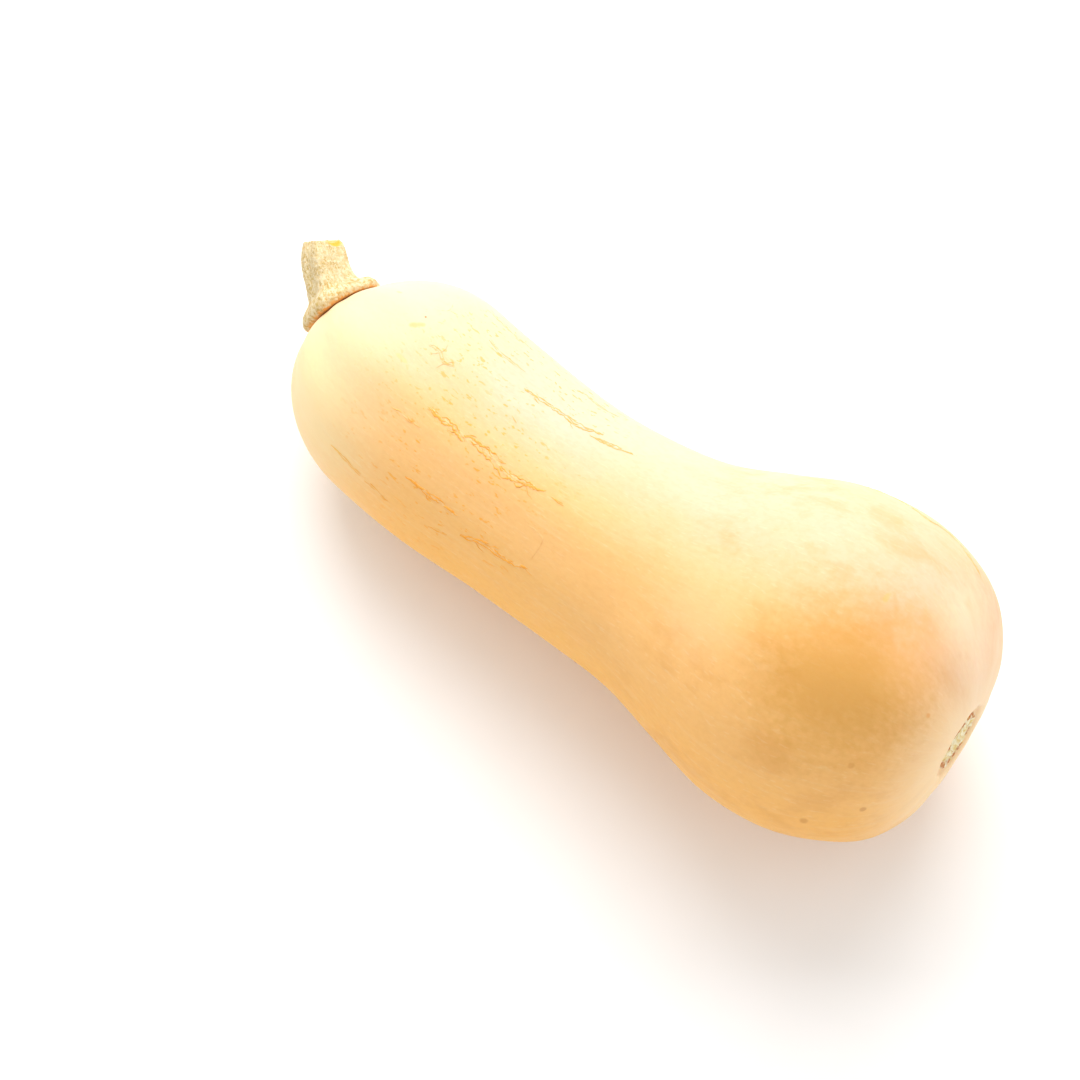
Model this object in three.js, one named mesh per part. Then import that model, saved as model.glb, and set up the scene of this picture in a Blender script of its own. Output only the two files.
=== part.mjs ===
// A butternut squash lying on its side, as picked: the fruit, its cut stem and the corky blossom scar.
// Millimetres, +Z up. X runs from the stem end to the blossom end, and the surface it rests on is z = 0.
import * as THREE from 'three';

// Driving dimensions of the fruit. Lengths are measured along X from the seat of the stem.
const LENGTH = 269.5;
const NECK_RADIUS = 42.2;
const SHOULDER_LENGTH = 44.8;

// Side outline from the neck over the waist to the bulb, as distance along the fruit and radius
const WAIST_AND_BULB = [
  [72.5, 41.7],
  [103.4, 40.3],
  [132.2, 41.3],
  [157.1, 44.2],
  [179.9, 51.6],
  [202.7, 58.9],
  [225.4, 59.8],
  [244, 54.8],
  [257.4, 45.8],
];

// The blossom end turns in over a low brow to a shallow dimple with a flat floor
const BLOSSOM_TURN_IN = 3.05;
const BLOSSOM_TURN_RADIUS = 31.4;
const BROW_RADIUS = 16.7;
const DIMPLE_DEPTH = 2.4;
const DIMPLE_RADIUS = 12.8;
const FLOOR_RADIUS = 11.6;

// The middle line of the fruit: where it starts, how it rises to the fat bulb, and how it bends sideways
const SEAT_X = -122.5;
const SEAT_Y = 5.94;
const FLOOR_TO_AXIS = 35.4;
const AXIS_RISE = 0.111;
const HOOK = 14.9;
const HOOK_REACH = 116;
const SIDE_SHIFT = 15.6;
const SHIFT_START = 106;
const SHIFT_REACH = 200;
const LIFT = 6;
const LIFT_REACH = 80;

// The blossom end sits a little to one side of the bulb's middle
const BLOSSOM_SHIFT = 1.9;
const BLOSSOM_SHIFT_START = 244;

// The skin is not quite round: ten faint ribs, strongest at the ends, and broad hollows
const RIBS = 10;
const RIB_DEPTH = 0.22;
const RIB_DEPTH_AT_ENDS = 0.4;

// The stem: a woody trunk with five soft ridges, which swells into a rolled, lobed collar.
// Its top is cut off.
const STEM_HEIGHT = 25.5;
const STEM_LEAN = 5.9;
const STEM_RIDGES = 5;
const STEM_RIDGE_DEPTH = 0.1;
const COLLAR_LOBE_DEPTH = 0.06;
const COLLAR_TOP = 2;
const COLLAR_FADE = 3;
const STEM_TURN = 0.36;
const COLLAR_HUG_HEIGHT = 8;
const COLLAR_SEAT_RADIUS = 13;

// Outline of the stem as height above the seat and radius, from the collar's rim to the cut
const STEM_OUTLINE = [
  [0.8, 14.6],
  [2.2, 15.4],
  [3.9, 13.8],
  [5.3, 10.9],
  [6.8, 9.6],
  [10.6, 8.7],
  [14.9, 8.3],
  [19, 8],
  [22.7, 7.4],
  [24.8, 6.7],
  [25.5, 6.3],
];
const CUT_HOLLOW = 0.9;

// The cut slopes down towards the upper side, from this height on
const CUT_SLOPE = 0.35;
const CUT_SLOPE_START = 12;

// The blossom scar: a corky disc with a raised rim, an inner ring and a nub in the middle,
// as height above the dimple's floor and radius
const SCAR_OUTLINE = [
  [0.4, 10.5],
  [1.2, 10.8],
  [2.1, 9.9],
  [1.5, 8.4],
  [1.4, 6.5],
  [2.1, 5.3],
  [1.4, 4.1],
  [1.5, 2.2],
  [2.8, 1.5],
];
const NUB_HEIGHT = 3;

// Touching pieces keep this gap
const GAP = 0.35;

// How finely the surfaces are divided
const FRUIT_SIDES = 72;
const SHOULDER_STEPS = 9;
const STEPS_PER_POINT = 3;
const STEM_SIDES = 60;
const SCAR_SIDES = 40;

function smoothOutline(points, steps) {
  const curve = new THREE.SplineCurve(points.map(([x, y]) => new THREE.Vector2(x, y)));
  const count = (points.length - 1) * steps;
  return Array.from({ length: count + 1 }, (_, k) => curve.getPoint(k / count));
}

// Distance along the fruit at which the rounded shoulder has a given radius
function shoulderAt(radius) {
  return SHOULDER_LENGTH * (1 - Math.sqrt(1 - (radius / NECK_RADIUS) ** 2));
}

// The middle line at x: its point, its direction, and the two directions across it
function middleLine(x) {
  const hook = Math.max(1 - x / HOOK_REACH, 0);
  const shift = THREE.MathUtils.clamp((x - SHIFT_START) / SHIFT_REACH, 0, 1);
  const lift = Math.max(1 - x / LIFT_REACH, 0);
  const blossom = THREE.MathUtils.smoothstep(x, BLOSSOM_SHIFT_START, LENGTH);
  const sideways = HOOK * (hook ** 3 - 1) + SIDE_SHIFT * shift ** 2 * (3 - 2 * shift);
  const point = new THREE.Vector3(
    SEAT_X + x,
    SEAT_Y + sideways - BLOSSOM_SHIFT * blossom,
    FLOOR_TO_AXIS + AXIS_RISE * x + LIFT * lift ** 3,
  );
  const along = new THREE.Vector3(
    1,
    (-3 * HOOK * hook ** 2) / HOOK_REACH + (SIDE_SHIFT * 6 * shift * (1 - shift)) / SHIFT_REACH,
    AXIS_RISE - (3 * LIFT * lift ** 2) / LIFT_REACH,
  ).normalize();
  const side = new THREE.Vector3(0, 0, 1).cross(along).normalize();
  const up = along.clone().cross(side);
  return { point, along, side, up };
}

function unevenness(x, turn) {
  const nearEnds = Math.exp(-((x / 30) ** 2)) + Math.exp(-(((LENGTH - x) / 35) ** 2));
  const ribs = (RIB_DEPTH + RIB_DEPTH_AT_ENDS * nearEnds) * Math.cos(RIBS * turn);
  const twoSided = 0.55 * Math.sin(2 * turn + 0.8) * Math.sin(x / 45 + 0.5);
  const threeSided = 0.4 * Math.sin(3 * turn - 1.1) * Math.cos(x / 31);
  return ribs + twoSided + threeSided;
}

// A point of the skin, pressed flat where the fruit rests
function skinPoint(x, radius, turn) {
  const { point, side, up } = middleLine(x);
  const uneven = radius + unevenness(x, turn) * Math.min(radius / 25, 1);
  point.addScaledVector(side, uneven * Math.cos(turn));
  point.addScaledVector(up, uneven * Math.sin(turn));
  point.z = Math.max(point.z, 0);
  return point;
}

function ring(sides, place) {
  return Array.from({ length: sides }, (_, k) => place((2 * Math.PI * k) / sides));
}

// A closed body through rings of points, drawn to one point at each end
function closedBody(start, rings, end) {
  const sides = rings[0].length;
  const points = [start, ...rings.flat(), end];
  const last = points.length - 1;
  const faces = [];
  for (let k = 0; k < sides; k += 1) {
    const next = (k + 1) % sides;
    faces.push(0, 1 + next, 1 + k);
    for (let row = 0; row < rings.length - 1; row += 1) {
      const here = 1 + row * sides;
      const beyond = here + sides;
      faces.push(here + k, here + next, beyond + k);
      faces.push(here + next, beyond + next, beyond + k);
    }
    const rim = last - sides;
    faces.push(last, rim + k, rim + next);
  }
  const geometry = new THREE.BufferGeometry().setFromPoints(points);
  geometry.setIndex(faces);
  geometry.computeVertexNormals();
  return geometry;
}

function fruitGeometry() {
  const shoulder = Array.from({ length: SHOULDER_STEPS - 1 }, (_, k) => {
    const radius = NECK_RADIUS * Math.sin((Math.PI / 2) * ((k + 1) / SHOULDER_STEPS));
    return new THREE.Vector2(shoulderAt(radius), radius);
  });
  const blossomEnd = [
    [LENGTH - BLOSSOM_TURN_IN, BLOSSOM_TURN_RADIUS],
    [LENGTH, BROW_RADIUS],
    [LENGTH - DIMPLE_DEPTH * 0.6, DIMPLE_RADIUS],
    [LENGTH - DIMPLE_DEPTH + 0.1, FLOOR_RADIUS],
  ];
  const side = smoothOutline(
    [[SHOULDER_LENGTH, NECK_RADIUS], ...WAIST_AND_BULB, ...blossomEnd],
    STEPS_PER_POINT,
  );
  const outline = [...shoulder, ...side];
  const rings = outline.map(({ x, y }) => ring(FRUIT_SIDES, (turn) => skinPoint(x, y, turn)));
  return closedBody(middleLine(0).point, rings, middleLine(LENGTH - DIMPLE_DEPTH).point);
}

// Five ridges run up the stem, turn a little on the way and fade in the collar
function stemRadius(radius, height, turn) {
  const angle = turn + STEM_TURN + height * 0.012;
  const inCollar = 1 - THREE.MathUtils.smoothstep(height, COLLAR_TOP, COLLAR_TOP + COLLAR_FADE);
  const depth = STEM_RIDGE_DEPTH + (COLLAR_LOBE_DEPTH - STEM_RIDGE_DEPTH) * inCollar;
  const ridges = depth * Math.cos(STEM_RIDGES * angle);
  const oval = 0.03 * Math.cos(2 * turn - 0.1);
  return radius * (1 + ridges + oval);
}

// A point of the stem. It bends to one side as it rises, its cut slopes, and its collar hugs the shoulder.
function stemPoint(height, radius, turn) {
  const { point, along, side, up } = middleLine(0);
  const outward = along.negate();
  const reach = stemRadius(radius, height, turn);
  const sloped = CUT_SLOPE * THREE.MathUtils.smoothstep(height, CUT_SLOPE_START, STEM_HEIGHT);
  const level = height - sloped * reach * Math.sin(turn);
  const rise = level / STEM_HEIGHT;
  const lean = (2 * STEM_LEAN * rise) / STEM_HEIGHT;
  const trunk = outward.clone().addScaledVector(side, lean).normalize();
  const bend = new THREE.Quaternion().setFromUnitVectors(outward, trunk);
  const across = side.clone().multiplyScalar(reach * Math.cos(turn));
  across.addScaledVector(up, reach * Math.sin(turn)).applyQuaternion(bend);
  const hug = shoulderAt(reach) * Math.max(1 - level / COLLAR_HUG_HEIGHT, 0);
  point.addScaledVector(outward, level - hug);
  point.addScaledVector(side, STEM_LEAN * rise ** 2);
  return point.add(across);
}

// The underside of the collar follows the skin at a small gap
function stemSeatPoint(radius, turn) {
  const reach = stemRadius(radius, 0, turn);
  const point = skinPoint(shoulderAt(reach), reach, turn);
  return point.addScaledVector(middleLine(0).along, -GAP);
}

function stemGeometry() {
  const cut = [
    [STEM_HEIGHT - CUT_HOLLOW, 2.4],
    [STEM_HEIGHT - CUT_HOLLOW * 0.6, 4.6],
  ];
  const trunk = smoothOutline(STEM_OUTLINE, 2).reverse();
  const outline = [...cut, ...trunk.map(({ x, y }) => [x, y])];
  const above = outline.map(([height, radius]) =>
    ring(STEM_SIDES, (turn) => stemPoint(height, radius, turn)),
  );
  const below = [COLLAR_SEAT_RADIUS, COLLAR_SEAT_RADIUS / 2].map((radius) =>
    ring(STEM_SIDES, (turn) => stemSeatPoint(radius, turn)),
  );
  const top = stemPoint(STEM_HEIGHT - CUT_HOLLOW, 0, 0);
  return closedBody(top, [...above, ...below], stemSeatPoint(0, 0));
}

function scarPoint(height, radius, turn) {
  const { point, along, side, up } = middleLine(LENGTH - DIMPLE_DEPTH);
  point.addScaledVector(along, height);
  point.addScaledVector(side, radius * Math.cos(turn));
  return point.addScaledVector(up, radius * Math.sin(turn));
}

function scarGeometry() {
  const rings = smoothOutline(SCAR_OUTLINE, 2).map(({ x, y }) =>
    ring(SCAR_SIDES, (turn) => scarPoint(x, y, turn)),
  );
  return closedBody(scarPoint(SCAR_OUTLINE[0][0], 0, 0), rings, scarPoint(NUB_HEIGHT, 0, 0));
}

function piece(name, geometry, color, roughness) {
  const material = new THREE.MeshStandardMaterial({ color, roughness, metalness: 0 });
  const mesh = new THREE.Mesh(geometry, material);
  mesh.name = name;
  return mesh;
}

const squash = new THREE.Group();
squash.add(piece('fruit', fruitGeometry(), '#efc27f', 0.5));
squash.add(piece('stem', stemGeometry(), '#d6c08a', 0.85));
squash.add(piece('blossom_scar', scarGeometry(), '#a98f5b', 0.9));

export default squash;
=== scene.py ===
import math

import bpy
import numpy as np
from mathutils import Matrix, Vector, noise


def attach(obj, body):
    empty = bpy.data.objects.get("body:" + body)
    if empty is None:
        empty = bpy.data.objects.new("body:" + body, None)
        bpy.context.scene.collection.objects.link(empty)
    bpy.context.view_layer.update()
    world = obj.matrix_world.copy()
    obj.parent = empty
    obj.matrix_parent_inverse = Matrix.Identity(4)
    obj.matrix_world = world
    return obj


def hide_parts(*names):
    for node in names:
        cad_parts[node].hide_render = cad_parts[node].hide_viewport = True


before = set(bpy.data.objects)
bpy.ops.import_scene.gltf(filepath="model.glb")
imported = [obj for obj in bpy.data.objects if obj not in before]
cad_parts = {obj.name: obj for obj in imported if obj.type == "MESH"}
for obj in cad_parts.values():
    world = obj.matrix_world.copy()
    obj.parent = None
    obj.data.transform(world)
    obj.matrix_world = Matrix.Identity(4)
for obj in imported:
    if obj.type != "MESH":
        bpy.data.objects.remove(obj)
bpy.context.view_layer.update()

MM = 0.001

# The form of the fruit, as the frame has it: lengths along X from the seat of the stem, and radii
LENGTH = 269.5
NECK_RADIUS = 42.2
SHOULDER_LENGTH = 44.8
WAIST_AND_BULB = [
    (72.5, 41.7),
    (103.4, 40.3),
    (132.2, 41.3),
    (157.1, 44.2),
    (179.9, 51.6),
    (202.7, 58.9),
    (225.4, 59.8),
    (244, 54.8),
    (257.4, 45.8),
]
BLOSSOM_TURN_IN = 3.05
BLOSSOM_TURN_RADIUS = 31.4
BROW_RADIUS = 16.7
DIMPLE_DEPTH = 2.4
DIMPLE_RADIUS = 12.8
DIMPLE_FLOOR_RADIUS = 11.6

# The middle line: where it starts, its rise towards the fat bulb and its bend
SEAT_X = -122.5
SEAT_Y = 5.94
FLOOR_TO_AXIS = 35.4
AXIS_RISE = 0.111
HOOK = 14.9
HOOK_REACH = 116
SIDE_SHIFT = 15.6
SHIFT_START = 106
SHIFT_REACH = 200
LIFT = 6
LIFT_REACH = 80

# The blossom end sits a little to one side of the bulb's middle
BLOSSOM_SHIFT = 1.9
BLOSSOM_SHIFT_START = 244

# Faint ribs, strongest at the two ends
RIBS = 10
RIB_DEPTH = 0.22
RIB_DEPTH_AT_ENDS = 0.4
STEM_END_REACH = 30
BLOSSOM_END_REACH = 35

# The fruit is a little out of round, by two and by three lobes that come and go along it
TWO_LOBES = 0.55
THREE_LOBES = 0.4

# Shallow hollows in the rind. They and the ribs have their full depth from that radius on
HOLLOW_DEPTH = 0.16
HOLLOW_SIZE = 13
FULL_RELIEF_RADIUS = 25

# How softly the rind turns to the flat spots that it rests on
REST_SOFTNESS = 0.5

# The stem: height above its seat and radius, from the collar's rim up to the cut
STEM_HEIGHT = 25.5
STEM_LEAN = 5.9
STEM_RIDGES = 5
STEM_RIDGE_DEPTH = 0.1
COLLAR_LOBE_DEPTH = 0.06
COLLAR_TOP = 2
COLLAR_FADE = 3
STEM_TURN = 0.36
STEM_TWIST = 0.012
STEM_OVAL = 0.03
COLLAR_HUG_HEIGHT = 8
COLLAR_SEAT_RADIUS = 13
STEM_OUTLINE = [
    (0.8, 14.6),
    (2.2, 15.4),
    (3.9, 13.8),
    (5.3, 10.9),
    (6.8, 9.6),
    (10.6, 8.7),
    (14.9, 8.3),
    (19, 8),
    (22.7, 7.4),
    (24.8, 6.7),
    (25.5, 6.3),
]
CUT_HOLLOW = 0.9
CUT_SLOPE = 0.35
CUT_SLOPE_START = 12
CUT_ROUGHNESS = 0.3
ROUGH_FROM = 21

# Depths of the bark's relief
FIBRE_DEPTH = 0.08
FLUTE_DEPTH = 0.24
BARK_PIT_DEPTH = 0.25
GRAIN_DEPTH = 0.16
FINE_GRAIN_DEPTH = 0.08

# How much of the flesh's colour shows on the cut, where the chip has all of it
CUT_FLESH = 0.55

# A chip is broken out of the cut's edge, deepest at that turn
CHIP_TURN = 0.85
CHIP_WIDTH = 0.45
CHIP_HEIGHT = 3.6
CHIP_EDGE = 1.6
CHIP_DROP = 1.3
CHIP_DEPTH = 1.1

# The collar is thicker in one lobe and has a crease beside it
THICK_LOBE_TURN = 0.3
THICK_LOBE_WIDTH = 0.4
THICK_LOBE_RISE = 1.3
CREASE_TURN = 1.05
CREASE_WIDTH = 0.13
CREASE_DEPTH = 0.7

# The blossom scar: height above the dimple's floor and radius
SCAR_OUTLINE = [
    (0.4, 10.5),
    (1.2, 10.8),
    (2.1, 9.9),
    (1.5, 8.4),
    (1.4, 6.5),
    (2.1, 5.3),
    (1.4, 4.1),
    (1.5, 2.2),
    (2.8, 1.5),
]
NUB_HEIGHT = 3
NUB_HOLLOW = 0.8
PITS = 15
PIT_RING_RADIUS = 7.4
PIT_RING_WIDTH = 0.9
PIT_DEPTH = 0.8
CRACK_DEPTH = 0.35
FINE_CRACK_DEPTH = 0.2
CRACKED_FROM = 1.25
RUST_STARTS = 7.8
RUST_FULL = 9.4

# Space between the collar's underside and the rind
GAP = 0.35

# How finely the looks are divided
RIND_SIDES = 320
SHOULDER_STEPS = 40
OUTLINE_STEPS = 14
STEM_SIDES = 240
SCAR_SIDES = 180

# Patterns that run along the rind or the stem are measured round it at these radii
ROUND_RADIUS = 45
FIBRE_RADIUS = 9

# Direction to the paler side of the fruit, in the axes of the rind's patterns: partly its own paler colour
# and partly painted light where the lamp falls
PALE_AND_LIT_SIDE = (0, 0.77, 0.64)

# Noise is at this value on average, and the paler side's border wanders with it by that many millimetres
NOISE_MIDDLE = 0.5
BORDER_DRIFT = 40

# Where the camera stands, as the photograph was taken
CAMERA_TURN = 38.42
CAMERA_RISE = 70
CAMERA_DISTANCE = 0.9434
CAMERA_LOOKS_AT = Vector((-0.01146, -0.02006, 0.04))
LENS_MM = 90
SENSOR_MM = 36

# The light: one large softbox high on the side that the stem leans to, in a pale room with a wide floor
KEY_PLACE = (-0.52, 0.65, 0.92)
KEY_SIZE = 1.1
KEY_POWER = 17
ROOM_LIGHT = 0.84
FRUIT_MIDDLE = Vector((0, 0, 0.05))
FLOOR_REACH = 3


def smooth_outline(points, steps):
    """An even curve through the points, with that many steps from each to the next."""
    padded = np.array([points[0], *points, points[-1]], float)
    made = []
    for k in range(len(points) - 1):
        before, here, beyond, after = padded[k : k + 4]
        for step in range(steps):
            t = step / steps
            lead = (beyond - before) / 2
            trail = (after - here) / 2
            cubic = (2 * here - 2 * beyond + lead + trail) * t**3
            square = (-3 * here + 3 * beyond - 2 * lead - trail) * t**2
            made.append(cubic + square + lead * t + here)
    made.append(padded[-1])
    return np.array(made)


def shoulder_at(radius):
    """Distance along the fruit at which its rounded shoulder has that radius."""
    return SHOULDER_LENGTH * (1 - np.sqrt(1 - (radius / NECK_RADIUS) ** 2))


def unit(vectors):
    return vectors / np.linalg.norm(vectors, axis=-1, keepdims=True)


def smooth_step(value, low, high):
    """0 below low, 1 above high and smooth between."""
    share = np.clip((value - low) / (high - low), 0, 1)
    return share**2 * (3 - 2 * share)


def middle_line(x):
    """Points of the middle line, its direction there, and the two directions across it."""
    x = np.asarray(x, float)
    hook = np.maximum(1 - x / HOOK_REACH, 0)
    shift = np.clip((x - SHIFT_START) / SHIFT_REACH, 0, 1)
    lift = np.maximum(1 - x / LIFT_REACH, 0)
    blossom = smooth_step(x, BLOSSOM_SHIFT_START, LENGTH)
    sideways = HOOK * (hook**3 - 1) + SIDE_SHIFT * shift**2 * (3 - 2 * shift) - BLOSSOM_SHIFT * blossom
    height = FLOOR_TO_AXIS + AXIS_RISE * x + LIFT * lift**3
    points = np.stack([SEAT_X + x, SEAT_Y + sideways, height], axis=-1)
    turning = -3 * HOOK * hook**2 / HOOK_REACH + SIDE_SHIFT * 6 * shift * (1 - shift) / SHIFT_REACH
    climbing = AXIS_RISE - 3 * LIFT * lift**2 / LIFT_REACH
    along = unit(np.stack([np.ones_like(x), turning, climbing], axis=-1))
    side = unit(np.cross([0, 0, 1], along))
    return points, along, side, np.cross(along, side)


def unevenness(x, turn):
    """How far the rind stands out from round, by its ribs and its lobes."""
    near_ends = np.exp(-((x / STEM_END_REACH) ** 2)) + np.exp(-(((LENGTH - x) / BLOSSOM_END_REACH) ** 2))
    ribs = (RIB_DEPTH + RIB_DEPTH_AT_ENDS * near_ends) * np.cos(RIBS * turn)
    two_sided = TWO_LOBES * np.sin(2 * turn + 0.8) * np.sin(x / 45 + 0.5)
    three_sided = THREE_LOBES * np.sin(3 * turn - 1.1) * np.cos(x / 31)
    return ribs + two_sided + three_sided


def lumps(points, size, seed=0):
    """Smooth noise of about -1 to 1 at each point, with lumps about that many millimetres across."""
    shift = Vector((seed * 13.7, seed * 5.1, seed * 9.3))
    flat = np.asarray(points, float).reshape(-1, 3) / size
    values = [noise.noise(Vector(point) + shift) for point in flat]
    return np.array(values).reshape(np.asarray(points).shape[:-1])


def unrolled(way, turn, radius):
    """Place in a pattern that is wrapped round at that radius: the way along and two directions round."""
    way, turn = np.broadcast_arrays(way, turn)
    return np.stack([way, radius * np.cos(turn), radius * np.sin(turn)], axis=-1)


def skin(x, radius, turn):
    """Points of the rind. Shallow hollows are pressed in, and the fruit sits flat where it rests."""
    x, radius, turn = np.broadcast_arrays(x, radius, turn)
    points, _, side, up = middle_line(x)
    fade = np.minimum(radius / FULL_RELIEF_RADIUS, 1)
    place = unrolled(x, turn, ROUND_RADIUS)
    hollows = HOLLOW_DEPTH * (lumps(place * (0.5, 1, 1), HOLLOW_SIZE) - 1)
    reach = radius + unevenness(x, turn) * fade + hollows * fade
    points = points + side * (reach * np.cos(turn))[..., None] + up * (reach * np.sin(turn))[..., None]
    low = points[..., 2]
    points[..., 2] = (low + np.sqrt(low**2 + REST_SOFTNESS**2)) / 2
    return points


def fruit_outline():
    """The whole side outline, as distance along and radius, from the stem's seat to the dimple."""
    angles = np.linspace(0, math.pi / 2, SHOULDER_STEPS, endpoint=False)[1:]
    radii = NECK_RADIUS * np.sin(angles)
    shoulder = np.stack([shoulder_at(radii), radii], axis=-1)
    blossom_end = [
        (LENGTH - BLOSSOM_TURN_IN, BLOSSOM_TURN_RADIUS),
        (LENGTH, BROW_RADIUS),
        (LENGTH - DIMPLE_DEPTH * 0.6, DIMPLE_RADIUS),
        (LENGTH - DIMPLE_DEPTH + 0.1, DIMPLE_FLOOR_RADIUS),
    ]
    side = smooth_outline([(SHOULDER_LENGTH, NECK_RADIUS), *WAIST_AND_BULB, *blossom_end], OUTLINE_STEPS)
    return np.vstack([shoulder, side])


OUTLINE = fruit_outline()
WAY_ALONG = np.cumsum(np.linalg.norm(np.diff(OUTLINE, axis=0, prepend=[[0, 0]]), axis=1))
WHOLE_WAY = WAY_ALONG[-1]


def radius_at(x):
    """Radius of the fruit at a distance along it, up to its blossom brow."""
    rising = OUTLINE[: np.argmax(OUTLINE[:, 0]) + 1]
    return np.interp(x, rising[:, 0], rising[:, 1])


def meridian(x, turn):
    """Place on the rind as its patterns measure it, from the distance along the fruit."""
    rising = np.argmax(OUTLINE[:, 0]) + 1
    way = np.interp(x, OUTLINE[:rising, 0], WAY_ALONG[:rising])
    return unrolled(way, turn, ROUND_RADIUS)


def closed_body(name, start, rings, end, marks):
    """A closed mesh through rings of points, with one point at each end and values kept on its points."""
    rows, sides = rings.shape[:2]
    points = np.vstack([start[None], rings.reshape(-1, 3), end[None]]) * MM
    here = 1 + np.arange(rows - 1)[:, None] * sides + np.arange(sides)
    next_side = 1 + np.arange(rows - 1)[:, None] * sides + (np.arange(sides) + 1) % sides
    quads = np.stack([here, next_side, next_side + sides, here + sides], axis=-1).reshape(-1, 4).tolist()
    first = [(0, 1 + (k + 1) % sides, 1 + k) for k in range(sides)]
    last_point = len(points) - 1
    rim = last_point - sides
    last = [(last_point, rim + k, rim + (k + 1) % sides) for k in range(sides)]
    return mesh_object(name, points, quads + first + last, marks)


def mesh_object(name, points, faces, marks):
    mesh = bpy.data.meshes.new(name)
    mesh.from_pydata(points.tolist(), [], faces)
    for mark, values in marks.items():
        kind = "FLOAT_VECTOR" if np.ndim(values) == 2 else "FLOAT"
        stored = mesh.attributes.new(mark, kind, "POINT")
        stored.data.foreach_set("vector" if kind == "FLOAT_VECTOR" else "value", np.ravel(values).astype("f"))
    mesh.shade_smooth()
    made = bpy.data.objects.new(name, mesh)
    bpy.context.scene.collection.objects.link(made)
    return made


def with_ends(values, start, end):
    """Values of the rings with those of the two end points."""
    flat = np.asarray(values, float)
    flat = flat.reshape(-1, 3) if np.ndim(values) == 3 else flat.reshape(-1)
    return np.concatenate([[start], flat, [end]])


def turns(sides):
    return np.arange(sides) * 2 * math.pi / sides


def make_fruit():
    turn = turns(RIND_SIDES)[None, :]
    x = OUTLINE[:, :1]
    radius = OUTLINE[:, 1:]
    rings = skin(x, radius, turn)
    seat = middle_line(0)[0]
    floor = middle_line(LENGTH - DIMPLE_DEPTH)[0]
    places = unrolled(WAY_ALONG[:, None], turn, ROUND_RADIUS)
    marks = {"meridian": with_ends(places, (0, 0, 0), (WHOLE_WAY + DIMPLE_FLOOR_RADIUS, 0, 0))}
    return closed_body("squash_fruit", seat, rings, floor, marks)


def bump_round(turn, middle, width):
    """1 where the turn is at the middle of a bump, falling away to both sides."""
    away = (turn - middle + math.pi) % (2 * math.pi) - math.pi
    return np.exp(-((away / width) ** 2))


def stem_radius(radius, height, turn):
    """Radius of the stem round it: a little oval, with ridges on the trunk and lobes on the collar."""
    angle = turn + STEM_TURN + height * STEM_TWIST
    in_collar = 1 - smooth_step(height, COLLAR_TOP, COLLAR_TOP + COLLAR_FADE)
    depth = STEM_RIDGE_DEPTH + (COLLAR_LOBE_DEPTH - STEM_RIDGE_DEPTH) * in_collar
    ridges = depth * np.cos(STEM_RIDGES * angle)
    oval = STEM_OVAL * np.cos(2 * turn - 0.1)
    return radius * (1 + ridges + oval)


def stem_place(height, reach, turn):
    """Points of the stem at a height above its seat and a reach from its middle."""
    height, reach, turn = np.broadcast_arrays(height, reach, turn)
    seat, along, side, up = middle_line(0)
    outward = -along
    sloped = CUT_SLOPE * smooth_step(height, CUT_SLOPE_START, STEM_HEIGHT)
    height = height - sloped * reach * np.sin(turn)
    rise = height / STEM_HEIGHT
    tilt = np.arctan(2 * STEM_LEAN * rise / STEM_HEIGHT)[..., None]
    across = side * np.cos(tilt) - outward * np.sin(tilt)
    offset = reach[..., None] * (np.cos(turn)[..., None] * across + np.sin(turn)[..., None] * up)
    hug = shoulder_at(reach) * np.maximum(1 - height / COLLAR_HUG_HEIGHT, 0)
    return seat + outward * (height - hug)[..., None] + side * (STEM_LEAN * rise**2)[..., None] + offset


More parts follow.
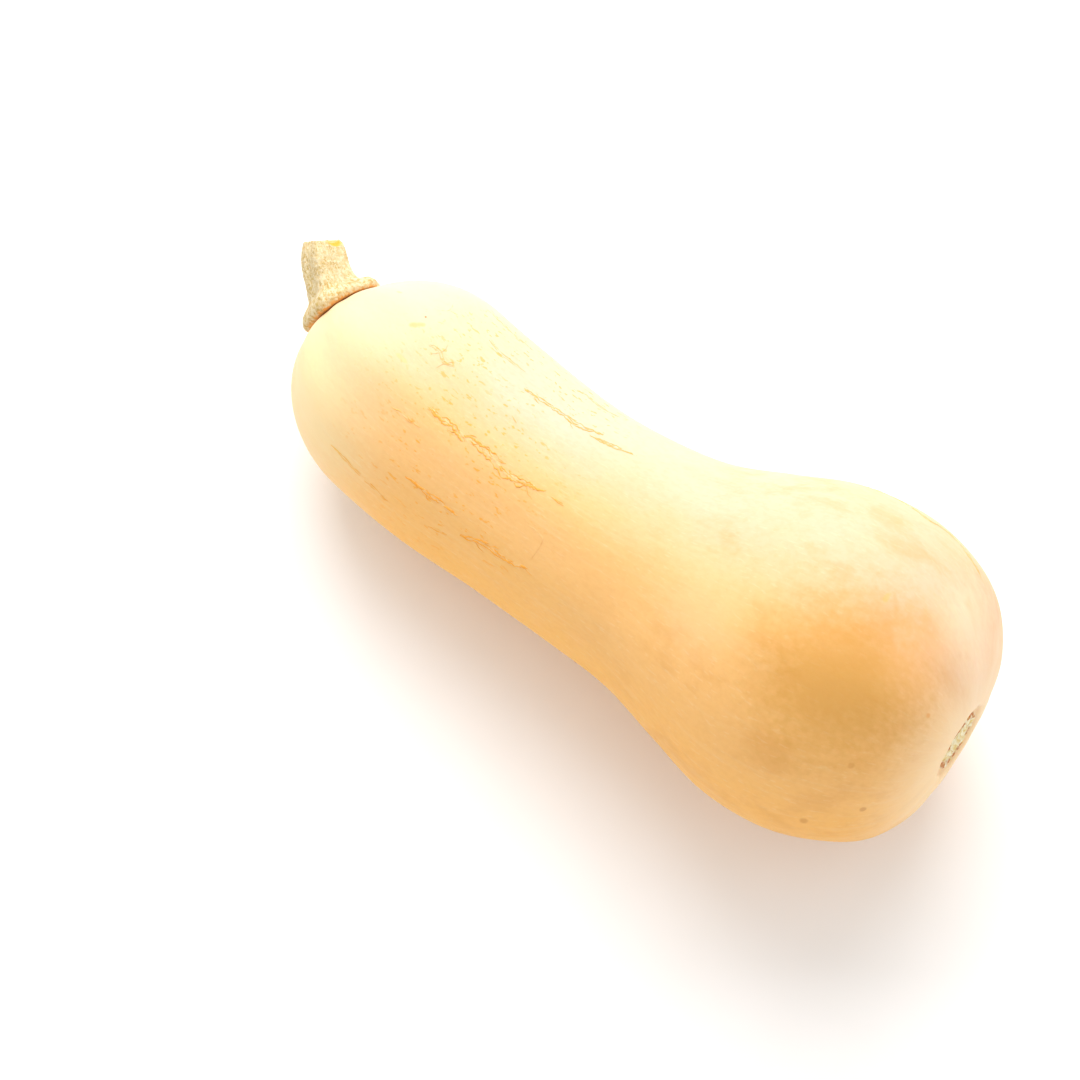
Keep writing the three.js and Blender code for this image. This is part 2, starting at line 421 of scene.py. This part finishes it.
def make_stem():
    """The stem, with fibres and corky grains in its trunk, a thick lobe in its collar and a chipped cut."""
    turn = turns(STEM_SIDES)[None, :]
    cut = [
        (STEM_HEIGHT - CUT_HOLLOW, 1.2),
        (STEM_HEIGHT - CUT_HOLLOW, 2.4),
        (STEM_HEIGHT - CUT_HOLLOW * 0.8, 3.6),
        (STEM_HEIGHT - CUT_HOLLOW * 0.6, 4.6),
        (STEM_HEIGHT - CUT_HOLLOW * 0.3, 5.4),
    ]
    trunk = smooth_outline(STEM_OUTLINE, 10)[::-1]
    outline = np.vstack([cut, trunk])
    height = outline[:, :1]
    reach = stem_radius(outline[:, 1:], height, turn)
    fibre = unrolled(height, turn, FIBRE_RADIUS)
    on_trunk = np.clip(outline[:, 1:] - cut[-1][1], 0, 1)
    fibres = FIBRE_DEPTH * (lumps(fibre * (0.16, 1, 1), 1.7, 1) - 0.3)
    flutes = FLUTE_DEPTH * (lumps(fibre * (0.4, 1, 1), 3.8, 2) - 0.3)
    pits = -BARK_PIT_DEPTH * np.clip(lumps(fibre * (0.8, 1, 1), 1.2, 3) - 0.1, 0, 1)
    grains = GRAIN_DEPTH * (lumps(fibre, 1.1, 8) - 0.2) + FINE_GRAIN_DEPTH * (lumps(fibre, 0.6, 9) - 0.2)
    reach = reach + (fibres + flutes + pits + grains) * on_trunk
    aside = np.abs((turn - CHIP_TURN) / CHIP_WIDTH)
    broken = smooth_step(height - CHIP_EDGE * aside, STEM_HEIGHT - CHIP_HEIGHT, STEM_HEIGHT - CHIP_EDGE)
    chip = np.exp(-(aside**2)) * broken * np.clip(reach - 3.4, 0, 1)
    reach = reach - CHIP_DEPTH * chip
    cut_place = fibre * (0, 0.5, 0.5) + reach[..., None] * (0, 0, 0.3)
    rough_cut = CUT_ROUGHNESS * (lumps(cut_place, 1.3, 4) - 0.5) * (height > ROUGH_FROM)
    on_collar = smooth_step(outline[:, 1:], 10.5, 13.5) * smooth_step(height, 0.9, 2.2)
    lobe = THICK_LOBE_RISE * bump_round(turn, THICK_LOBE_TURN, THICK_LOBE_WIDTH)
    crease = CREASE_DEPTH * bump_round(turn, CREASE_TURN, CREASE_WIDTH)
    above = stem_place(height + rough_cut - CHIP_DROP * chip + (lobe - crease) * on_collar, reach, turn)
    seat_radius = stem_radius(np.array([[COLLAR_SEAT_RADIUS], [COLLAR_SEAT_RADIUS / 2]]), 0, turn)
    below = skin(shoulder_at(seat_radius), seat_radius, turn) - middle_line(0)[1] * GAP
    rings = np.concatenate([above, below])
    start = stem_place(STEM_HEIGHT - CUT_HOLLOW, 0, 0)
    end = middle_line(0)[0] - middle_line(0)[1] * GAP
    low = np.zeros((2, STEM_SIDES))
    low_fibre = unrolled(low, turn, FIBRE_RADIUS)
    flesh = np.maximum(CUT_FLESH * (1 - on_trunk), np.clip(1.6 * chip, 0, 1))
    marks = {
        "fibre": with_ends(np.concatenate([fibre, low_fibre]), (STEM_HEIGHT, 0, 0), (0, 0, 0)),
        "cut_face": with_ends(np.concatenate([flesh, low]), CUT_FLESH, 0),
    }
    return closed_body("squash_stem", start, rings, end, marks)


def make_scar():
    """Two low rings with a ring of small round pits between them, cracks all over and a nub in the middle."""
    turn = turns(SCAR_SIDES)[None, :]
    outline = smooth_outline(SCAR_OUTLINE, 8)
    height = outline[:, :1]
    radius = outline[:, 1:]
    on_top = height > CRACKED_FROM
    flat = np.stack([radius * np.cos(turn), radius * np.sin(turn), 0 * turn + 0 * radius], axis=-1)
    cracks = CRACK_DEPTH * lumps(flat, 1.4, 5) + FINE_CRACK_DEPTH * lumps(flat, 0.6, 6)
    ring = np.exp(-(((radius - PIT_RING_RADIUS) / PIT_RING_WIDTH) ** 2))
    pits = ring * np.clip(np.cos(PITS * turn + 2 * lumps(flat, 6, 7)), 0, 1)
    height = height + (cracks - 0.15 - PIT_DEPTH * pits) * on_top
    points, along, side, up = middle_line(LENGTH - DIMPLE_DEPTH)
    edge = 1 + 0.02 * np.cos(3 * turn + 1) + 0.012 * np.cos(7 * turn)
    reach = radius * edge
    rings = points + along * height[..., None] + side * (reach * np.cos(turn))[..., None]
    rings = rings + up * (reach * np.sin(turn))[..., None]
    start = points + along * SCAR_OUTLINE[0][0]
    end = points + along * (NUB_HEIGHT - NUB_HOLLOW)
    marks = {
        "disc": with_ends(flat, (0, 0, -1), (0, 0, 0)),
        "from_middle": with_ends(np.broadcast_to(radius, rings.shape[:2]), 0, 0),
        "pit": with_ends(pits, 0, 0),
    }
    return closed_body("squash_blossom_scar", start, rings, end, marks)


def skin_frame(x, turn):
    """Points of the rind and its outward direction there."""
    here = skin(x, radius_at(x), turn)
    ahead = skin(x + 0.5, radius_at(x + 0.5), turn) - skin(x - 0.5, radius_at(x - 0.5), turn)
    round_it = skin(x, radius_at(x), turn + 0.01) - skin(x, radius_at(x), turn - 0.01)
    return here, unit(np.cross(round_it, ahead))


# How far the edges of a scratch are sunk in the rind, and how far it sinks where it breaks off
SCRATCH_SINK = 0.12
BREAK_SINK = 0.35

# Steps along a strand in millimetres, and points across it
STRAND_STEP = 0.3
STRAND_POINTS = 7

# Tints and marks on the rind: distance along the fruit and turn round it, half their length and width in
# millimetres, how soft their edge is, their colour and how strong it is. The first five are broad tints,
# which were set by comparison with the photograph, and the rest are single marks
MARKS = [
    (235, 111, 25, 20, 0.7, "#d4983c", 0.72),
    (183, 112, 14, 12, 0.7, "#f4c88e", 0.5),
    (252, 86, 12, 12, 0.7, "#efb56e", 0.35),
    (258, 60, 11, 14, 0.7, "#ffe9c0", 0.4),
    (29, 151, 23, 20, 0.8, "#f8e9a8", 0.32),
    (37.8, 81, 1.1, 1, 0.6, "#f0bc77", 0.8),
    (38.8, 79.8, 1.3, 1.2, 0.6, "#f0bc77", 0.8),
    (39.9, 78.4, 1.2, 1.1, 0.6, "#f0bc77", 0.8),
    (41, 77, 0.9, 0.8, 0.6, "#f0bc77", 0.7),
    (19, 68, 1.6, 0.8, 0.4, "#eecb7c", 0.6),
    (46, 96, 2.6, 0.8, 0.4, "#eecb7c", 0.5),
    (38.6, 73, 0.4, 0.4, 0.3, "#a8642a", 0.9),
    (234, 81, 0.9, 1.5, 0.4, "#f3b855", 0.4),
    (262, 105.5, 0.8, 0.8, 0.6, "#e89e4e", 0.65),
    (257, 159, 1.2, 1.2, 0.4, "#c98a45", 0.6),
    (241, 170, 1.4, 1.1, 0.4, "#cf8c40", 0.6),
    (249, 137, 1.1, 0.9, 0.4, "#d28f45", 0.5),
]

# Corky scratches: distance along the fruit in millimetres and turn round it in degrees, with each one's width
# and how dark its strands are
SCRATCHES = [
    ([(66, 105), (79, 105.5), (93, 105), (103, 108), (117, 105)], 2.4, 1),
    ([(119, 105), (125, 105)], 1, 0.8),
    ([(85, 67), (101, 65), (110, 65), (119, 61)], 1.8, 1),
    ([(115, 67), (124, 65), (134, 63)], 1.3, 0.9),
    ([(72, 139), (84, 139), (95, 140)], 1.4, 1),
    ([(85, 157), (93, 154)], 1, 0.8),
    ([(97, 149), (107, 144.5), (117, 144), (124, 141)], 1.8, 1),
    ([(55, 116), (69, 115)], 1, 0.6),
    ([(43, 155), (57, 157), (70, 160)], 1.2, 0.8),
    ([(49, 82), (54, 81), (58, 83), (63, 82)], 1.2, 0.45),
    ([(54, 75), (55, 80), (52, 86)], 0.8, 0.4),
    ([(58, 89), (59, 84), (62, 79)], 0.8, 0.4),
    ([(38, 66), (41, 60), (38, 53)], 1, 0.35),
    ([(41, 60), (45, 58)], 0.8, 0.35),
    ([(49, 37), (60, 38), (74, 38)], 0.9, 0.5),
    ([(61, 56), (70, 58), (81, 57)], 1, 0.5),
    ([(98, 39), (108, 41), (116, 39)], 1, 0.5),
    ([(90, 83), (94, 85)], 1, 0.6),
    ([(116, 122), (124, 124), (123, 138)], 0.6, 0.1),
    ([(204, 30), (216, 30), (228, 35), (236, 32), (252, 37)], 1.2, 0.6),
]


def along_route(route):
    """Even steps along a route on the rind: the way so far, the distance along the fruit and the turn."""
    path = smooth_outline([(x, math.radians(turn)) for x, turn in route], 40)
    steps = np.diff(path, axis=0, prepend=path[:1])
    run = np.cumsum(np.hypot(steps[:, 0], radius_at(path[:, 0]) * steps[:, 1]))
    way = np.linspace(0, run[-1], max(int(run[-1] / STRAND_STEP), 8))
    return way, np.interp(way, run, path[:, 0]), np.interp(way, run, path[:, 1])


def strand(route, offset, sway, width, lift, seed):
    """One corky strand on the rind, as rows of points across it. Where it breaks off it is under the rind."""
    way, x, turn = along_route(route)
    place = np.stack([way, 0 * way + seed * 3.1, 0 * way], axis=-1)
    to_end = np.minimum(way, way[-1] - way)
    wide_bends = 1.2 * lumps(place, 5, seed) + 1.1 * lumps(place, 2, seed + 1)
    tight_bends = 0.6 * lumps(place, 0.9, seed + 5)
    middle = offset * np.clip(to_end / 8, 0.1, 1) + sway * (wide_bends + tight_bends)
    fullness = np.clip(0.75 + 1.5 * lumps(place, 2.4, seed + 2), 0.05, 1.2)
    fullness = fullness * np.clip(to_end / 2.5, 0, 1) ** 0.6
    left = width * np.maximum(fullness, 0.3) * (0.5 + 0.3 * lumps(place, 0.9, seed + 3))
    right = width * np.maximum(fullness, 0.3) * (0.5 + 0.3 * lumps(place, 0.9, seed + 4))
    across = np.linspace(-1, 1, STRAND_POINTS)
    lateral = middle[:, None] + np.where(across < 0, left[:, None], right[:, None]) * across
    crown = np.sqrt(np.maximum(1 - across**2, 0))
    grain = np.stack([way[:, None] + 0 * lateral, lateral, 0 * lateral + seed], axis=-1)
    broken = 1 - smooth_step(fullness, 0.12, 0.32)
    height = (lift * fullness[:, None] + 0.06 * lumps(grain, 0.7, seed)) * crown
    height = height - SCRATCH_SINK * (1 - crown) - BREAK_SINK * broken[:, None]
    turned = turn[:, None] + lateral / radius_at(x)[:, None]
    x = x[:, None] + 0 * lateral
    base, outward = skin_frame(x, turned)
    return base + outward * height[..., None], meridian(x, turned), grain


def side_strands(route, seed):
    """Short strands that leave a scratch every nine millimetres or so, to one side and the other."""
    way, x, turn = along_route(route)
    made = []
    for count, start in enumerate(np.arange(5, way[-1] - 4, 9)):
        begin = np.searchsorted(way, start + 3 * math.sin(2.3 * count + seed))
        slant = (1.7 + math.sin(seed + 4 * count)) * (1 if (count + seed) % 2 else -1)
        here = (x[begin], math.degrees(turn[begin]))
        made.append([here, (here[0] + 2.2, here[1] + slant), (here[0] + 4.8, here[1] + 1.6 * slant)])
    return made


def make_scratches():
    """Each scratch is a braid: a low pale bed of cork with darker thin strands over it and beside it."""
    points = []
    faces = []
    places = []
    grains = []
    darks = []
    count = 0
    for number, (route, width, darkness) in enumerate(SCRATCHES):
        seed = 11 + 7 * number
        # Each strand is a line with its offset from it, its sway, its width and height, and 1 if it is dark
        strands = [(route, 0, 0.15, width * 0.9, 0.08, 0)]
        for share in np.linspace(-0.45, 0.45, 2 + (width >= 1.3) + (width >= 2)):
            strands.append((route, share * width, width * 0.32, 0.62, 0.2, 1))
        if width >= 1.4:
            strands += [(side, 0, 0.3, 0.4, 0.16, 1) for side in side_strands(route, seed)]
        for order, (line, offset, sway, thick, height, dark) in enumerate(strands):
            lift = height * (0.35 + 0.65 * darkness)
            rows, where, grain = strand(line, offset, sway, thick, lift, seed + 3 * order)
            length, wide = rows.shape[:2]
            corner = count + np.arange(length - 1)[:, None] * wide + np.arange(wide - 1)
            quads = np.stack([corner, corner + wide, corner + wide + 1, corner + 1], axis=-1)
            faces += quads.reshape(-1, 4).tolist()
            points.append(rows.reshape(-1, 3))
            places.append(where.reshape(-1, 3))
            grains.append(grain.reshape(-1, 3))
            darks.append(np.full(length * wide, float(dark) * darkness))
            count += length * wide
    marks = {"meridian": np.vstack(places), "grain": np.vstack(grains), "dark": np.concatenate(darks)}
    return mesh_object("squash_scratches", np.vstack(points) * MM, faces, marks)


def colour(code):
    """The linear colour of an sRGB hex code."""
    parts = [int(code[k : k + 2], 16) / 255 for k in (1, 3, 5)]
    return tuple(p / 12.92 if p <= 0.04045 else ((p + 0.055) / 1.055) ** 2.4 for p in parts) + (1,)


def add(tree, kind, inputs=(), **settings):
    """Adds a node with its settings, and sets or links its inputs."""
    made = tree.nodes.new(kind)
    for name, value in settings.items():
        setattr(made, name, value)
    for socket, value in dict(inputs).items():
        if isinstance(value, bpy.types.NodeSocket):
            tree.links.new(value, made.inputs[socket])
        else:
            made.inputs[socket].default_value = value
    return made


def new_material(name):
    material = bpy.data.materials.new(name)
    material.use_nodes = True
    material.node_tree.nodes.clear()
    return material, material.node_tree


def finish_surface(tree, looks, relief, strength, depth):
    """Gives a surface its shader, with a fine relief of that depth in millimetres."""
    bump = add(tree, "ShaderNodeBump", {"Height": relief, "Strength": strength, "Distance": depth * MM})
    shader = add(tree, "ShaderNodeBsdfPrincipled", {**looks, "Normal": bump.outputs["Normal"]})
    add(tree, "ShaderNodeOutputMaterial", {"Surface": shader.outputs["BSDF"]})


def pattern(tree, place, size, detail=2.0, roughness=0.5):
    """Noise whose lumps have that size in millimetres along, round and round again."""
    scaled = add(tree, "ShaderNodeVectorMath", {0: place, 1: size}, operation="DIVIDE")
    lumpy = {"Vector": scaled.outputs[0], "Scale": 1.0, "Detail": detail, "Roughness": roughness}
    return add(tree, "ShaderNodeTexNoise", lumpy).outputs["Fac"]


def patches(tree, place, size, low, high, detail=2.0, roughness=0.5):
    """Patches of noise of that size: 0 where the noise is low, 1 where it is high and smooth between."""
    limits = {"Value": pattern(tree, place, size, detail, roughness), "From Min": low, "From Max": high}
    return add(tree, "ShaderNodeMapRange", limits, interpolation_type="SMOOTHSTEP").outputs["Result"]


def coated(tree, tone, code, strength, *shares, way="MIX"):
    """The tone with a colour laid over it or multiplied into it, by the strength and all the shares."""
    share = strength
    for part in shares:
        share = add(tree, "ShaderNodeMath", {0: part, 1: share}, operation="MULTIPLY").outputs[0]
    mixed = {"Factor": share, 6: tone, 7: colour(code)}
    return add(tree, "ShaderNodeMix", mixed, data_type="RGBA", blend_type=way).outputs[2]


def rind_zones(tree, place):
    """Shares that say how far a place is in each zone of the rind, from 0 outside to 1 well inside."""
    parts = add(tree, "ShaderNodeSeparateXYZ", {0: place})
    way = parts.outputs["X"]
    # The paler side is partly the fruit's own colour and partly painted light; the deeper orange away from it
    # is partly painted shade
    toward_pale_lit_side = add(tree, "ShaderNodeVectorMath", {0: place, 1: PALE_AND_LIT_SIDE}, operation="DOT_PRODUCT")
    drift = {0: pattern(tree, place, (60, 34, 34), 3), 1: BORDER_DRIFT, 2: toward_pale_lit_side.outputs["Value"]}
    paled_and_lit = add(tree, "ShaderNodeMath", drift, operation="MULTIPLY_ADD").outputs[0]
    limits = {
        "tan": (paled_and_lit, -16, 28),
        "pale": (paled_and_lit, 26, 74),
        "bulb": (way, 150, 215),
        "past_shoulder": (way, 44, 74),
        "before_waist": (way, 165, 120),
        "upper_side": (parts.outputs["Z"], -12, 26),
        "blossom_end": (way, WHOLE_WAY - 46, WHOLE_WAY - 6),
        "stem_end": (way, 98, 44),
    }
    zones = {}
    for name, (value, outside, inside) in limits.items():
        span = {"Value": value, "From Min": outside, "From Max": inside}
        zones[name] = add(tree, "ShaderNodeMapRange", span, interpolation_type="SMOOTHSTEP").outputs["Result"]
    return zones


def rind_tone(tree, place):
    """Colour of the rind: paler on one side and deeper orange on the other, each partly its own colour and
    partly painted light and painted shade; streaked, mottled on the bulb and flecked on the neck.
    """
    zones = rind_zones(tree, place)
    # Deep orange away from the light is partly painted shade; the tan and pale coats towards the light are
    # partly painted light
    tone = coated(tree, colour("#f8ba5d"), "#f1bd77", 1, zones["tan"])
    tone = coated(tree, tone, "#f0c5ac", 1, zones["pale"])
    tone = coated(tree, tone, "#efb56a", 0.25, zones["bulb"])
    mottles = patches(tree, place, (18, 11, 11), 0.46, 0.68, 5, 0.6)
    tone = coated(tree, tone, "#dc9a48", 0.36, zones["bulb"], mottles)
    grain = patches(tree, place, (2.4, 1.5, 1.5), 0.44, 0.64, 3)
    tone = coated(tree, tone, "#dd9a50", 0.1, grain)
    streaks = patches(tree, place, (30, 1.5, 1.5), 0.5, 0.75)
    tone = coated(tree, tone, "#f8dcae", 0.1, streaks)
    dashes = patches(tree, place, (3.6, 0.7, 0.7), 0.62, 0.72, 1)
    tone = coated(tree, tone, "#fbe3b8", 0.14, dashes)
    gathered = patches(tree, place, (24, 12, 12), 0.38, 0.54)
    small = patches(tree, place, (2.9, 1.6, 1.6), 0.63, 0.7, 1.5)
    large = patches(tree, place, (5, 2.1, 2.1), 0.63, 0.69, 3, 0.6)
    flecks = add(tree, "ShaderNodeMath", {0: small, 1: large}, operation="MAXIMUM").outputs[0]
    on_neck = [zones["past_shoulder"], zones["before_waist"], zones["upper_side"]]
    tone = coated(tree, tone, "#ffe698", 0.95, flecks, gathered, *on_neck, way="MULTIPLY")
    tone = coated(tree, tone, "#ffe4b9", 0.68, zones["blossom_end"])
    tone = coated(tree, tone, "#f1d6ac", 0.75, zones["stem_end"])
    return marked(tree, place, tone)


def marked(tree, place, tone):
    """The tone of the rind with its broad tints and its marks on it. Their edges are a little ragged."""
    ragged = pattern(tree, place, (3, 2, 2), 3)
    rim = 1 + NOISE_MIDDLE
    for x, turn, half_length, half_width, softness, code, strength in MARKS:
        middle = tuple(meridian(x, math.radians(turn)))
        offset = add(tree, "ShaderNodeVectorMath", {0: place, 1: middle}, operation="SUBTRACT").outputs[0]
        halves = {0: offset, 1: (half_length, half_width, half_width)}
        shares = add(tree, "ShaderNodeVectorMath", halves, operation="DIVIDE").outputs[0]
        away = add(tree, "ShaderNodeVectorMath", {0: shares}, operation="LENGTH").outputs["Value"]
        edge = add(tree, "ShaderNodeMath", {0: away, 1: ragged}, operation="ADD").outputs[0]
        span = {"Value": edge, "From Min": rim + softness, "From Max": rim - softness}
        inside = add(tree, "ShaderNodeMapRange", span, interpolation_type="SMOOTHSTEP").outputs["Result"]
        tone = coated(tree, tone, code, strength, inside)
    return tone


def rind_material():
    """Ripe butternut rind: thin, smooth and waxed by the plant itself, so it is tan with a soft sheen."""
    material, tree = new_material("waxy_butternut_rind")
    place = add(tree, "ShaderNodeAttribute", attribute_name="meridian").outputs["Vector"]
    worn = pattern(tree, place, (9, 6, 6), 3)
    sheen = {"Value": worn, "From Min": 0.3, "From Max": 0.7, "To Min": 0.48, "To Max": 0.62}
    looks = {
        "Base Color": rind_tone(tree, place),
        "Roughness": add(tree, "ShaderNodeMapRange", sheen).outputs["Result"],
        "IOR": 1.45,
        "Subsurface Weight": 0.15,
        "Subsurface Radius": (1.0, 0.5, 0.2),
        "Subsurface Scale": 2.5 * MM,
    }
    dimples = pattern(tree, place, (7, 3.2, 3.2))
    # Real pores are about 0.3 mm apart, which is too fine to show, so they are drawn about 1 mm apart
    pores = pattern(tree, place, (1.1, 0.8, 0.8))
    relief = add(tree, "ShaderNodeMath", {0: pores, 1: 0.25, 2: dimples}, operation="MULTIPLY_ADD").outputs[0]
    finish_surface(tree, looks, relief, 0.5, 0.25)
    return material


def stem_material():
    """Dry squash stem: woody, with a matt cream bark of corky grains, rusty specks and yellow flesh."""
    material, tree = new_material("dry_woody_stem")
    place = add(tree, "ShaderNodeAttribute", attribute_name="fibre").outputs["Vector"]
    fibres = patches(tree, place, (9, 1.1, 1.1), 0.35, 0.65, 3)
    tone = coated(tree, colour("#cdb27c"), "#d9c596", 1, fibres)
    grains = patches(tree, place, (1.5, 1.1, 1.1), 0.42, 0.6, 3, 0.6)
    tone = coated(tree, tone, "#e5d8b6", 0.6, grains)
    weathered = patches(tree, place, (7, 4, 4), 0.34, 0.58)
    dots = patches(tree, place, (0.9, 0.6, 0.6), 0.53, 0.59, 2, 0.6)
    specks = add(tree, "ShaderNodeMath", {0: dots, 1: weathered}, operation="MULTIPLY").outputs[0]
    tone = coated(tree, tone, "#e2d194", 0.9, specks, way="MULTIPLY")
    rust = patches(tree, place, (1.5, 0.9, 0.9), 0.64, 0.72)
    tone = coated(tree, tone, "#f2c477", 0.7, rust, way="MULTIPLY")
    height = add(tree, "ShaderNodeSeparateXYZ", {0: place}).outputs["X"]
    uneven = add(tree, "ShaderNodeMath", {0: grains, 1: 0.9, 2: height}, operation="MULTIPLY_ADD").outputs[0]
    span = {"Value": uneven, "From Min": 1.7, "From Max": 0.7}
    foot = add(tree, "ShaderNodeMapRange", span, interpolation_type="SMOOTHSTEP").outputs["Result"]
    tone = coated(tree, tone, "#e8a450", 0.8, foot)
    cut = add(tree, "ShaderNodeAttribute", attribute_name="cut_face").outputs["Fac"]
    tone = coated(tree, tone, "#eaaf2e", 0.9, cut)
    relief = add(tree, "ShaderNodeMath", {0: grains, 1: specks}, operation="ADD").outputs[0]
    finish_surface(tree, {"Base Color": tone, "Roughness": 0.85, "IOR": 1.5}, relief, 0.5, 0.3)
    return material


def cork_scar_material():
    """Blossom scar: dead corky tissue, pale khaki and matt, with brown cracks and a rusty rim."""
    material, tree = new_material("corky_blossom_scar")
    place = add(tree, "ShaderNodeAttribute", attribute_name="disc").outputs["Vector"]
    from_middle = add(tree, "ShaderNodeAttribute", attribute_name="from_middle").outputs["Fac"]
    pit = add(tree, "ShaderNodeAttribute", attribute_name="pit").outputs["Fac"]
    bleached = patches(tree, place, (2.4, 2.4, 2.4), 0.38, 0.58, 3)
    tone = coated(tree, colour("#ead08c"), "#fbf3d2", 1, bleached)
    cracks = patches(tree, place, (1.2, 1.2, 1.2), 0.6, 0.68, 3)
    tone = coated(tree, tone, "#c2873a", 0.8, cracks)
    span = {"Value": from_middle, "From Min": RUST_STARTS, "From Max": RUST_FULL}
    rim = add(tree, "ShaderNodeMapRange", span, interpolation_type="SMOOTHSTEP").outputs["Result"]
    worn = patches(tree, place, (3.2, 3.2, 3.2), 0.62, 0.42)
    tone = coated(tree, tone, "#c06a22", 0.9, rim, worn)
    tone = coated(tree, tone, "#93541c", 0.8, pit)
    grain = pattern(tree, place, (0.7, 0.7, 0.7), 3)
    finish_surface(tree, {"Base Color": tone, "Roughness": 0.9, "IOR": 1.5}, grain, 0.7, 0.3)
    return material


def cork_scratch_material():
    """Healed scratches: thin cork grown into the rind, matt, with a pale bed and orange strands."""
    material, tree = new_material("healed_cork_scratch")
    rind = rind_tone(tree, add(tree, "ShaderNodeAttribute", attribute_name="meridian").outputs["Vector"])
    place = add(tree, "ShaderNodeAttribute", attribute_name="grain").outputs["Vector"]
    dark = add(tree, "ShaderNodeAttribute", attribute_name="dark").outputs["Fac"]
    grain = patches(tree, place, (1.6, 0.5, 0.5), 0.4, 0.65)
    bed = coated(tree, rind, "#f9dfae", 0.25, grain)
    cork = coated(tree, colour("#ffdf7e"), "#ffeb9c", 1, grain)
    over_rind = {"Factor": 0.95, 6: rind, 7: cork}
    strands = add(tree, "ShaderNodeMix", over_rind, data_type="RGBA", blend_type="MULTIPLY").outputs[2]
    tone = add(tree, "ShaderNodeMix", {"Factor": dark, 6: bed, 7: strands}, data_type="RGBA").outputs[2]
    finish_surface(tree, {"Base Color": tone, "Roughness": 0.6, "IOR": 1.46}, grain, 0.5, 0.1)
    return material


def floor_material():
    """Matt white painted board, with a faint unevenness in its paint."""
    material, tree = new_material("matt_white_board")
    place = add(tree, "ShaderNodeTexCoord").outputs["Object"]
    paint = add(tree, "ShaderNodeTexNoise", {"Vector": place, "Scale": 40.0, "Detail": 2.0})
    tone = coated(tree, colour("#faf9f7"), "#fdfcfb", 1, paint.outputs["Fac"])
    shader = add(tree, "ShaderNodeBsdfPrincipled", {"Base Color": tone, "Roughness": 0.8})
    add(tree, "ShaderNodeOutputMaterial", {"Surface": shader.outputs["BSDF"]})
    return material


def place_camera():
    data = bpy.data.cameras.new("camera")
    data.lens = LENS_MM
    data.sensor_width = SENSOR_MM
    made = bpy.data.objects.new("camera", data)
    turn = math.radians(CAMERA_TURN)
    rise = math.radians(CAMERA_RISE)
    back = Vector((math.sin(turn) * math.cos(rise), -math.cos(turn) * math.cos(rise), math.sin(rise)))
    made.location = CAMERA_LOOKS_AT + back * CAMERA_DISTANCE
    made.rotation_euler = back.to_track_quat("Z", "Y").to_euler()
    bpy.context.scene.collection.objects.link(made)
    bpy.context.scene.camera = made


def hang_softbox():
    """A square soft light that faces the squash."""
    data = bpy.data.lights.new("key_softbox", "AREA")
    data.shape = "SQUARE"
    data.size = KEY_SIZE
    data.energy = KEY_POWER
    made = bpy.data.objects.new("key_softbox", data)
    made.location = KEY_PLACE
    made.rotation_euler = (Vector(KEY_PLACE) - FRUIT_MIDDLE).to_track_quat("Z", "Y").to_euler()
    bpy.context.scene.collection.objects.link(made)


def light_the_room():
    world = bpy.data.worlds.new("pale_room")
    world.use_nodes = True
    background = world.node_tree.nodes["Background"]
    background.inputs["Color"].default_value = (1, 1, 1, 1)
    background.inputs["Strength"].default_value = ROOM_LIGHT
    bpy.context.scene.world = world
    bpy.context.scene.view_settings.view_transform = "Standard"


def lay_floor():
    corners = np.array([(-1, -1, 0), (1, -1, 0), (1, 1, 0), (-1, 1, 0)], float) * FLOOR_REACH
    floor = mesh_object("floor", corners, [(0, 1, 2, 3)], {})
    floor.data.materials.append(floor_material())


def dress(piece, material, node=None):
    """Gives a piece its finish and sets it on the body, in place of the frame's plain solid."""
    piece.data.materials.append(material)
    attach(piece, "root")
    if node:
        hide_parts(node)


place_camera()
hang_softbox()
light_the_room()
lay_floor()
dress(make_fruit(), rind_material(), "fruit")
dress(make_stem(), stem_material(), "stem")
dress(make_scar(), cork_scar_material(), "blossom_scar")
dress(make_scratches(), cork_scratch_material())
